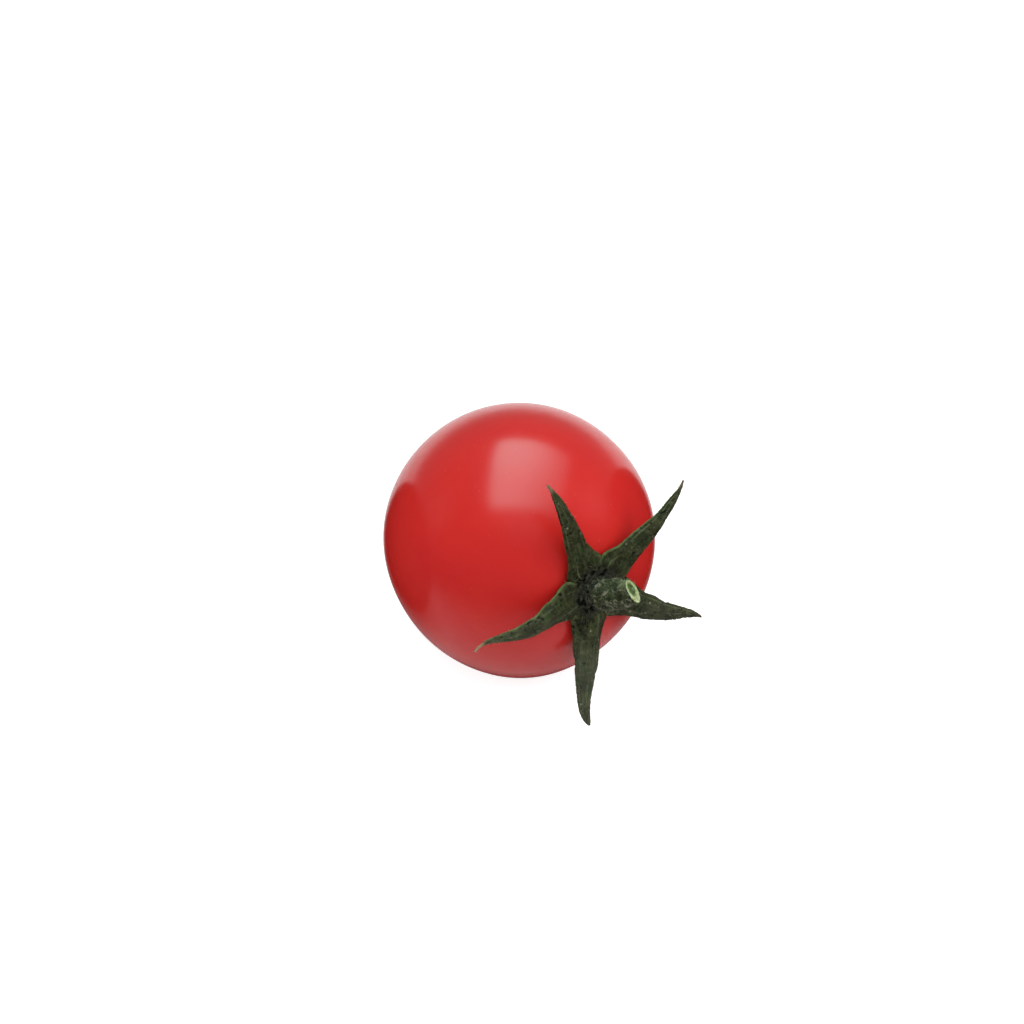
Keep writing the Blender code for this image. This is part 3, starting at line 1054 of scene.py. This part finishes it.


# Fresh stalk skin: grey-green, downy and rough, with pale raised wrinkles, painted shade in its hollows and
# at its root, and a painted highlight of lighter green on its upper side
def makeStalkGreen():
    green, tree, shader = startMaterial("fresh downy stalk", {"Roughness": 0.65, "Specular IOR Level": 0.2})
    place = addNode(tree, "TexCoord").outputs["Object"]
    sources = {"relief": addNode(tree, "Attribute", {"attribute_name": "relief"}).outputs["Fac"]}
    for name, detail in (("blotch", 4.0), ("fine", 3.0)):
        sources[name] = addNode(tree, "TexNoise", values={
            "Scale": 1 / (stalkLook[name + "Size"] * mm), "Detail": detail,
        }, links={"Vector": place}).outputs[0]
    start = stalkSpace @ Vector(stalkShape["start"])
    sources["fromRoot"] = addNode(tree, "VectorMath", {"operation": "DISTANCE"}, {1: start}, {
        0: place,
    }).outputs["Value"]
    # Painted highlight: it is lighter green on its upper side, the side by the cut's shorter edge
    upperLitPlace = stalkSpace @ (Vector(stalkShape["end"]) - Vector(stalkShape["cutLongWay"]))
    away = addNode(tree, "VectorMath", {"operation": "DISTANCE"}, {1: upperLitPlace}, {0: place}).outputs["Value"]
    sources["fromUpperLitPlace"] = addNode(tree, "Math", {"operation": "MULTIPLY_ADD"}, {
        1: stalkLook["litSideRagged"] * mm,
    }, {0: sources["blotch"], 2: away}).outputs[0]
    paintLayers(tree, shader, stalkLook, sources)
    bump = addNode(tree, "Bump", values={"Strength": 0.7, "Distance": stalkLook["fineDepth"] * mm}, links={
        "Height": sources["fine"],
    })
    tree.links.new(bump.outputs[0], shader.inputs["Normal"])
    return green


cutLook = {
    "ground": "#c3cd9c",
    "innerFlesh": "#8fa25e",
    "pith": "#38521f",
    "strand": "#7d8c50",
    "rim": "#66744f",
    # Millimetres from the cut's middle towards its lower end
    "places": {"rim": 0.0, "pith": -0.25, "strand": 0.75},
    "raggedSize": 0.35,
    "raggedReach": 0.3,
    "fleckSize": 0.2,
    "layers": [
        ("innerFlesh", "ragged", 0.5, 0.66, 0.0, 0.7),
        ("innerFlesh", "pith", 0.9 * mm, 1.1 * mm, 0.8, 0.0),
        ("pith", "pith", 0.72 * mm, 0.97 * mm, 1.0, 0.0),
        ("strand", "strand", 0.22 * mm, 0.4 * mm, 0.9, 0.0),
        ("ground", "flecks", 0.55, 0.68, 0.0, 0.5),
        ("rim", "rim", 1.26 * mm, 1.4 * mm, 0.0, 0.9),
    ],
}


# Cut stalk: moist pale flesh round a greener pith, with a darker strand below it, drying a little at the rim
def makeCutFlesh():
    flesh, tree, shader = startMaterial("cut stalk flesh", {"Roughness": 0.45, "IOR": 1.4})
    place = addNode(tree, "TexCoord").outputs["Object"]
    sources = {}
    for name, size, detail in (("ragged", "raggedSize", 3.0), ("flecks", "fleckSize", 2.0)):
        sources[name] = addNode(tree, "TexNoise", values={
            "Scale": 1 / (cutLook[size] * mm), "Detail": detail,
        }, links={"Vector": place}).outputs[0]
    for name, off in cutLook["places"].items():
        middle = stalkSpace @ (Vector(stalkShape["end"]) + Vector(stalkShape["cutLongWay"]) * off)
        away = addNode(tree, "VectorMath", {"operation": "DISTANCE"}, {1: middle}, {0: place})
        sources[name] = addNode(tree, "Math", {"operation": "MULTIPLY_ADD"}, {
            1: cutLook["raggedReach"] * mm,
        }, {0: sources["ragged"], 2: away.outputs["Value"]}).outputs[0]
    paintLayers(tree, shader, cutLook, sources)
    return flesh


addCamera()
addStudio()
print("camera and studio are set")
makeFruit()
plantDown = makeDown()
makeCalyx(plantDown)
makeStalk(plantDown)
